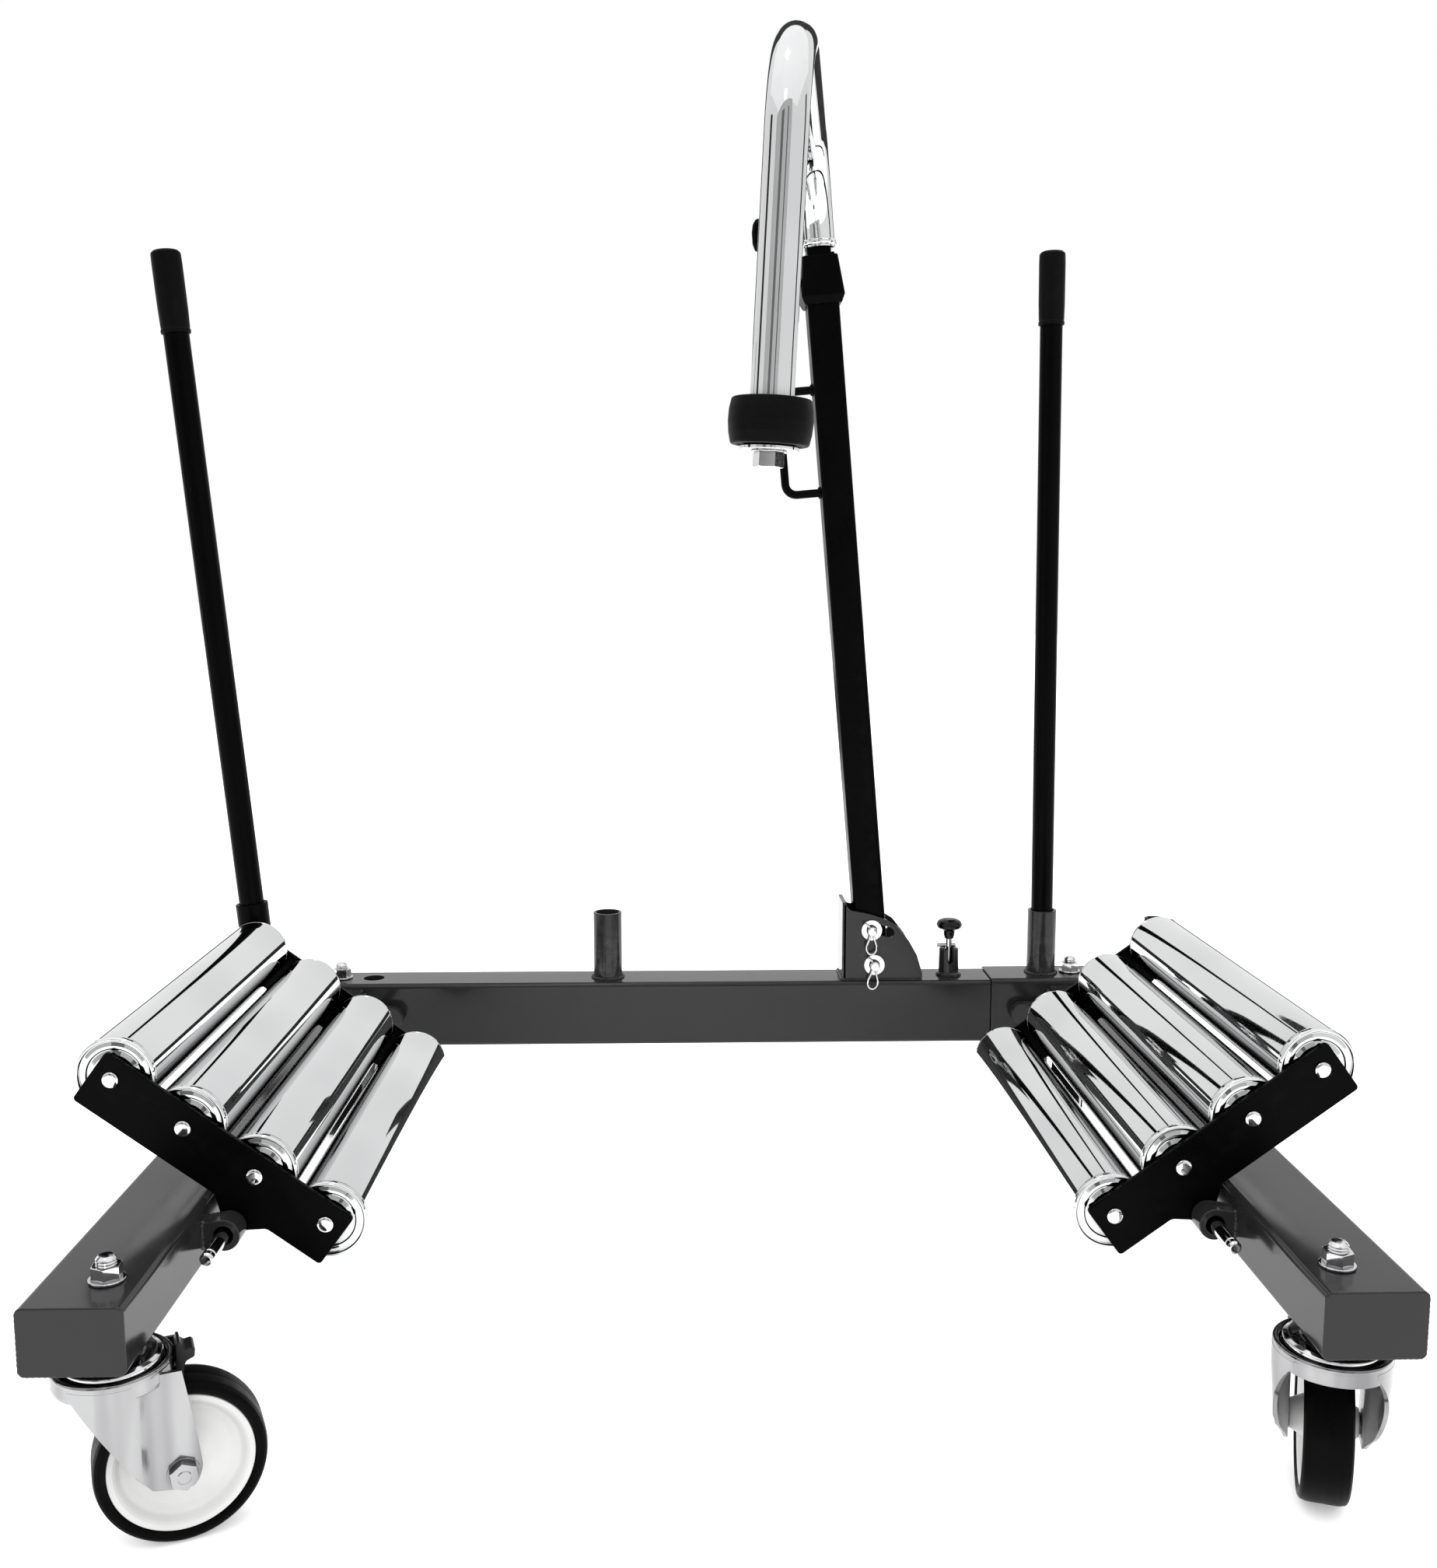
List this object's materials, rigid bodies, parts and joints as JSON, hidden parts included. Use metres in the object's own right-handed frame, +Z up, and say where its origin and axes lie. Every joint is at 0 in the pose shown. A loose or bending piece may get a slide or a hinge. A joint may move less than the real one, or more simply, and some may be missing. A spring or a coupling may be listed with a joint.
{
  "type": "wheel dolly",
  "caption": "Telescoping U-shaped wheel dolly on swivel casters, with tilting roller carriages, tilt levers and a pinned mast with a safety hook.",
  "frame": {"origin": "on the floor, under the middle of the whole dolly's box", "axes": "+Z up, +Y from the open side towards the crossbar, +X to the right as seen from the open side"},
  "size_m": [1.1792, 1.0104, 1.2906],
  "materials": {
    "grey_paint": "semi-gloss dark grey powder coat",
    "black_paint": "semi-gloss black powder coat",
    "chrome": "bright chrome plate",
    "zinc_steel": "bright zinc plate",
    "rubber": "moulded black rubber",
    "tread_rubber": "smooth black rubber tread",
    "white_nylon": "moulded white nylon",
    "grey_plastic": "moulded dark grey plastic",
    "black_plastic": "moulded glossy black plastic"
  },
  "bodies": {
    "frame": {"left_leg": "grey_paint", "crossbar_tube": "grey_paint", "mast_bracket": "grey_paint", "plunger_housing": "grey_paint", "left_pivot_rod": "zinc_steel", "mast_pivot_pin": "zinc_steel", "caster_fl_head": "zinc_steel", "caster_rl_head": "zinc_steel"},
    "right_frame": {"right_leg": "grey_paint", "right_sleeve": "grey_paint", "slide_tube": "grey_paint", "right_pivot_rod": "zinc_steel", "caster_fr_head": "zinc_steel", "caster_rr_head": "zinc_steel"},
    "plunger": {"plunger_pin": "zinc_steel", "plunger_knob": "black_plastic"},
    "mast": {"mast": "black_paint", "mast_collar": "black_paint", "mast_stop_pin": "zinc_steel"},
    "clamp": {"clamp_lever": "black_paint"},
    "hook": {"inner_mast": "black_paint", "hook_tube": "chrome", "hook_bolt": "zinc_steel"},
    "bumper": {"hook_bumper": "rubber"},
    "left_lever": {"left_lever": "black_paint", "left_grip": "rubber"},
    "right_lever": {"right_lever": "black_paint", "right_grip": "rubber"},
    "left_carriage": {"left_carriage": "black_paint", "left_axle_1": "zinc_steel", "left_axle_2": "zinc_steel", "left_axle_3": "zinc_steel", "left_axle_4": "zinc_steel"},
    "left_roller_1": {"left_roller_1": "chrome"},
    "left_roller_2": {"left_roller_2": "chrome"},
    "left_roller_3": {"left_roller_3": "chrome"},
    "left_roller_4": {"left_roller_4": "chrome"},
    "right_carriage": {"right_carriage": "black_paint", "right_axle_1": "zinc_steel", "right_axle_2": "zinc_steel", "right_axle_3": "zinc_steel", "right_axle_4": "zinc_steel"},
    "right_roller_1": {"right_roller_1": "chrome"},
    "right_roller_2": {"right_roller_2": "chrome"},
    "right_roller_3": {"right_roller_3": "chrome"},
    "right_roller_4": {"right_roller_4": "chrome"},
    "caster_fl_swivel": {"caster_fl_fork": "zinc_steel"},
    "caster_fl_wheel": {"caster_fl_hub": "white_nylon", "caster_fl_tread": "tread_rubber"},
    "caster_fl_pedal": {"caster_fl_pedal": "grey_plastic"},
    "caster_fr_swivel": {"caster_fr_fork": "zinc_steel"},
    "caster_fr_wheel": {"caster_fr_hub": "white_nylon", "caster_fr_tread": "tread_rubber"},
    "caster_fr_pedal": {"caster_fr_pedal": "grey_plastic"},
    "caster_rl_swivel": {"caster_rl_fork": "zinc_steel"},
    "caster_rl_wheel": {"caster_rl_hub": "white_nylon", "caster_rl_tread": "tread_rubber"},
    "caster_rr_swivel": {"caster_rr_fork": "zinc_steel"},
    "caster_rr_wheel": {"caster_rr_hub": "white_nylon", "caster_rr_tread": "tread_rubber"}
  },
  "joints": [
    {"name": "width_adjust", "type": "slide", "parent": "frame", "child": "right_frame", "axis": [1, 0, 0], "range_m": [0, 0.25]},
    {"name": "plunger_pull", "type": "slide", "parent": "frame", "child": "plunger", "axis": [0, 0, 1], "range_m": [0, 0.01], "stiffness_N_per_m": 500},
    {"name": "mast_tilt", "type": "hinge", "parent": "frame", "child": "mast", "pos_m": [0.2476, 0.39378, 0.246], "axis": [0, 1, 0], "range_deg": [0, 14]},
    {"name": "clamp_turn", "type": "hinge", "parent": "mast", "child": "clamp", "pos_m": [0.1447, 0.39378, 1.11233], "axis": [-0.9962, 0, -0.0872], "range_deg": [0, 90]},
    {"name": "hook_height", "type": "slide", "parent": "mast", "child": "hook", "axis": [-0.0872, 0, 0.9962], "range_m": [0, 0.25]},
    {"name": "bumper_spin", "type": "hinge", "parent": "hook", "child": "bumper", "pos_m": [0.0836, -0.07522, 0.918], "axis": [-0.0504, 0, -0.9987], "continuous": true},
    {"name": "left_carriage_tilt", "type": "hinge", "parent": "frame", "child": "left_carriage", "pos_m": [-0.39687, -0.05522, 0.18947], "axis": [0, 1, 0], "range_deg": [0, 40]},
    {"name": "left_roller_1_spin", "type": "hinge", "parent": "left_carriage", "child": "left_roller_1", "pos_m": [-0.49455, -0.06422, 0.31987], "axis": [0, 1, 0], "continuous": true},
    {"name": "left_roller_2_spin", "type": "hinge", "parent": "left_carriage", "child": "left_roller_2", "pos_m": [-0.43498, -0.06422, 0.27596], "axis": [0, 1, 0], "continuous": true},
    {"name": "left_roller_3_spin", "type": "hinge", "parent": "left_carriage", "child": "left_roller_3", "pos_m": [-0.37542, -0.06422, 0.23204], "axis": [0, 1, 0], "continuous": true},
    {"name": "left_roller_4_spin", "type": "hinge", "parent": "left_carriage", "child": "left_roller_4", "pos_m": [-0.31586, -0.06422, 0.18813], "axis": [0, 1, 0], "continuous": true},
    {"name": "right_carriage_tilt", "type": "hinge", "parent": "right_frame", "child": "right_carriage", "pos_m": [0.45747, -0.05522, 0.18947], "axis": [0, -1, 0], "range_deg": [0, 40]},
    {"name": "right_roller_1_spin", "type": "hinge", "parent": "right_carriage", "child": "right_roller_1", "pos_m": [0.55514, -0.06422, 0.31987], "axis": [0, 1, 0], "continuous": true},
    {"name": "right_roller_2_spin", "type": "hinge", "parent": "right_carriage", "child": "right_roller_2", "pos_m": [0.49558, -0.06422, 0.27596], "axis": [0, 1, 0], "continuous": true},
    {"name": "right_roller_3_spin", "type": "hinge", "parent": "right_carriage", "child": "right_roller_3", "pos_m": [0.43602, -0.06422, 0.23204], "axis": [0, 1, 0], "continuous": true},
    {"name": "right_roller_4_spin", "type": "hinge", "parent": "right_carriage", "child": "right_roller_4", "pos_m": [0.37645, -0.06422, 0.18813], "axis": [0, 1, 0], "continuous": true},
    {"name": "left_lever_lift", "type": "slide", "parent": "left_carriage", "child": "left_lever", "axis": [-0.0889, 0, 0.996], "range_m": [0, 0.06]},
    {"name": "right_lever_lift", "type": "slide", "parent": "right_frame", "child": "right_lever", "axis": [-0.0122, 0, 0.9999], "range_m": [0, 0.06]},
    {"name": "caster_fl_turn", "type": "hinge", "parent": "frame", "child": "caster_fl_swivel", "pos_m": [-0.4427, -0.46022, 0.161], "axis": [0, 0, 1], "continuous": true},
    {"name": "caster_fl_roll", "type": "hinge", "parent": "caster_fl_swivel", "child": "caster_fl_wheel", "pos_m": [-0.4002, -0.44262, 0.065], "axis": [-0.3827, 0.9239, 0], "continuous": true},
    {"name": "caster_fl_brake", "type": "hinge", "parent": "caster_fl_swivel", "child": "caster_fl_pedal", "pos_m": [-0.39836, -0.44185, 0.148], "axis": [-0.3827, 0.9239, 0], "range_deg": [0, 6]},
    {"name": "caster_fr_turn", "type": "hinge", "parent": "right_frame", "child": "caster_fr_swivel", "pos_m": [0.5033, -0.46022, 0.161], "axis": [0, 0, 1], "continuous": true},
    {"name": "caster_fr_roll", "type": "hinge", "parent": "caster_fr_swivel", "child": "caster_fr_wheel", "pos_m": [0.51865, -0.41686, 0.065], "axis": [-0.9426, 0.3338, 0], "continuous": true},
    {"name": "caster_fr_brake", "type": "hinge", "parent": "caster_fr_swivel", "child": "caster_fr_pedal", "pos_m": [0.51932, -0.41497, 0.148], "axis": [-0.9426, 0.3338, 0], "range_deg": [0, 6]},
    {"name": "caster_rl_turn", "type": "hinge", "parent": "frame", "child": "caster_rl_swivel", "pos_m": [-0.4517, 0.39378, 0.161], "axis": [0, 0, 1], "continuous": true},
    {"name": "caster_rl_roll", "type": "hinge", "parent": "caster_rl_swivel", "child": "caster_rl_wheel", "pos_m": [-0.47114, 0.43547, 0.065], "axis": [-0.9063, -0.4226, 0], "continuous": true},
    {"name": "caster_rr_turn", "type": "hinge", "parent": "right_frame", "child": "caster_rr_swivel", "pos_m": [0.5123, 0.39378, 0.161], "axis": [0, 0, 1], "continuous": true},
    {"name": "caster_rr_roll", "type": "hinge", "parent": "caster_rr_swivel", "child": "caster_rr_wheel", "pos_m": [0.52651, 0.43753, 0.065], "axis": [-0.9511, 0.309, 0], "continuous": true}
  ]
}
